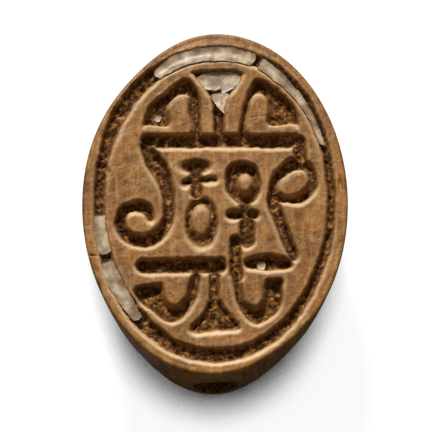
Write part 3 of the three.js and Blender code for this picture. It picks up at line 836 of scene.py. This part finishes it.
notch_glaze_outline = [[-0.82, 6.15], [-0.55, 6.36], [-0.25, 6.42], [1.05, 6.42], [1.24, 6.26],
                       [1.14, 6.06], [0.93, 5.83], [0.73, 5.66], [0.3, 5.45], [0.26, 5.68],
                       [0.0, 5.63], [-0.38, 5.68], [-0.56, 5.78], [-0.74, 6.02]]
groove_flake_outline = [[2.0, -2.84], [1.98, -3.12], [2.28, -3.18], [2.32, -2.86]]
leaf_flake_outline = [[-2.84, 4.18], [-2.62, 4.1], [-2.5, 4.36], [-2.78, 4.44]]
leaf_flake_floor = main_floor - 0.05

# Each piece and its node, then its outline, middle, spread, floor, thickness, finish and seed
figure_remnants = [
    ("notch_glaze", "glaze_top_notch", notch_glaze_outline, [0.28, 6.08], 1.1, main_floor,
     0.34, glaze, 101),
    ("lower_groove_flake", "glaze_chip_lower_groove", groove_flake_outline, [2.14, -3.0], 1.0,
     main_floor, 0.18, glaze, 111),
    ("upper_left_flake", "glaze_chip_upper_left", leaf_flake_outline, [-2.67, 4.28], 0.9,
     leaf_flake_floor, 0.1, glaze, 121),
]
for name, node, *form in figure_remnants:
    patch = floor_patch(name, *form)
    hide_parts(node)
    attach(patch, "root")


# Lime crust: a pale chalky lump without gloss, grown on to the stone from the ground that the
# seal lay in. It sits in the fork under the notch.
crumb_size = 0.25
crumb_relief = 0.05
crust = bpy.data.materials.new("lime_crust")
tree = emptied(crust)
place = add(tree, "ShaderNodeTexCoord").outputs["Object"]
chalk = add(tree, "ShaderNodeTexNoise", [("Vector", place), ("Scale", per_mm / crumb_size),
            ("Detail", 6.0), ("Roughness", 0.7)]).outputs["Fac"]
tone = add(tree, "ShaderNodeValToRGB", [("Fac", chalk)], stops=[
    [0.34, "#8A6A4A"], [0.48, "#C4A684"], [0.62, "#E2CEB2"]]).outputs["Color"]
crumbs = add(tree, "ShaderNodeBump", [("Strength", 0.6), ("Distance", crumb_relief * metres),
             ("Height", chalk)]).outputs[0]
shader = add(tree, "ShaderNodeBsdfPrincipled", [("Base Color", tone), ("Roughness", 0.9),
             ("Normal", crumbs), ("IOR", 1.5)])
add(tree, "ShaderNodeOutputMaterial", [("Surface", shader.outputs[0])])

crust_outline = [[-0.12, 5.28], [0.1, 5.36], [0.58, 5.36], [0.56, 5.08], [0.58, 4.72],
                 [0.46, 4.44], [0.28, 4.62], [0.1, 4.82], [-0.04, 5.04]]
crust_middle = [0.3, 5.02]
crust_spread = 1.12
crust_thickness = 0.42
fork_crust = floor_patch("fork_crust", crust_outline, crust_middle, crust_spread, main_floor,
                         crust_thickness, crust, 131)
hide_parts("crust_in_fork")
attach(fork_crust, "root")


# The studio: a sheet of matt white paper that keeps the seal's shadow, one soft key from
# beyond the top end and a faint light from overhead. Paper and world are white to the camera,
# but a contact shadow is painted on the paper where the seal stands close.
paper_half = 0.6  # in metres
painted_shadow_reach = 3.6  # how far round each place of the paper the seal is sought, to paint its contact shadow
paper_corners = [[-paper_half, -paper_half, 0], [paper_half, -paper_half, 0],
                 [paper_half, paper_half, 0], [-paper_half, paper_half, 0]]
floor_mesh = bpy.data.meshes.new("studio_floor")
floor_mesh.from_pydata(paper_corners, [], [[0, 1, 2, 3]])
studio_floor = bpy.data.objects.new("studio_floor", floor_mesh)
bpy.context.scene.collection.objects.link(studio_floor)
paper = bpy.data.materials.new("white_paper")
tree = emptied(paper)
matt = add(tree, "ShaderNodeBsdfDiffuse", [("Color", linear("#707070"))]).outputs[0]
open_sky = add(tree, "ShaderNodeAmbientOcclusion", [("Distance", painted_shadow_reach * metres)],
               samples=16).outputs["AO"]
# A painted contact shadow: the paper's glow is lowered where the seal stands close
painted_contact_shadow = add(tree, "ShaderNodeMapRange", [("Value", open_sky), ("From Min", 0.5),
                ("From Max", 0.76), ("To Min", 0.0), ("To Max", 0.92)]).outputs[0]
glow = add(tree, "ShaderNodeEmission", [("Color", linear("#FFFFFF")), ("Strength", painted_contact_shadow)]).outputs[0]
lifted = add(tree, "ShaderNodeAddShader", [(0, matt), (1, glow)]).outputs[0]
seen = add(tree, "ShaderNodeLightPath").outputs["Is Camera Ray"]
shown = add(tree, "ShaderNodeMixShader", [(0, seen), (1, matt), (2, lifted)]).outputs[0]
add(tree, "ShaderNodeOutputMaterial", [("Surface", shown)])
floor_mesh.materials.append(paper)

scene = bpy.context.scene
scene.view_settings.view_transform = "Standard"
scene.world = bpy.data.worlds.new("studio")
tree = emptied(scene.world)
seen = add(tree, "ShaderNodeLightPath").outputs["Is Camera Ray"]
light = add(tree, "ShaderNodeBackground", [("Color", linear("#FFFFFF")), ("Strength", 0.12)]).outputs[0]
white = add(tree, "ShaderNodeBackground", [("Color", linear("#FFFFFF")), ("Strength", 1.0)]).outputs[0]
mixed = add(tree, "ShaderNodeMixShader", [(0, seen), (1, light), (2, white)]).outputs[0]
add(tree, "ShaderNodeOutputWorld", [("Surface", mixed)])


def sun(name, strength, softness, azimuth, elevation):
    """A lamp as far away as the sun, at degrees round from +Y towards -X and up from the floor."""
    data = bpy.data.lights.new(name, "SUN")
    data.energy = strength
    data.angle = math.radians(softness)
    lamp = bpy.data.objects.new(name, data)
    turned = math.radians(azimuth)
    raised = math.radians(elevation)
    towards = Vector((-math.sin(turned) * math.cos(raised), math.cos(turned) * math.cos(raised),
                      math.sin(raised)))
    lamp.rotation_euler = towards.to_track_quat("Z", "Y").to_euler()
    scene.collection.objects.link(lamp)


sun("key", strength=3.8, softness=10, azimuth=12, elevation=43)
sun("overhead", strength=0.2, softness=60, azimuth=-10, elevation=78)


# The camera: above the lower end, tilted by 18 degrees from square to the face, through a
# long lens
view_elevation = math.radians(72)
pixels_per_mm = 21.45
frame_pixels = 432
view_distance = 300.0
face_centre_shown = (215, 202)
nearest_shown = 0.01  # in metres, as the next
farthest_shown = 5
up = Vector((0, math.sin(view_elevation), math.cos(view_elevation)))
back = Vector((0, -math.cos(view_elevation), math.sin(view_elevation)))
aside = (frame_pixels / 2 - face_centre_shown[0]) / pixels_per_mm
below = (frame_pixels / 2 - face_centre_shown[1]) / pixels_per_mm
target = Vector((aside, 0, stone_height)) - up * below
camera_data = bpy.data.cameras.new("camera")
camera_data.lens = camera_data.sensor_width * view_distance * pixels_per_mm / frame_pixels
camera_data.clip_start = nearest_shown
camera_data.clip_end = farthest_shown
camera = bpy.data.objects.new("camera", camera_data)
camera.location = (target + back * view_distance) * metres
camera.rotation_euler = back.to_track_quat("Z", "Y").to_euler()
scene.collection.objects.link(camera)
scene.camera = camera
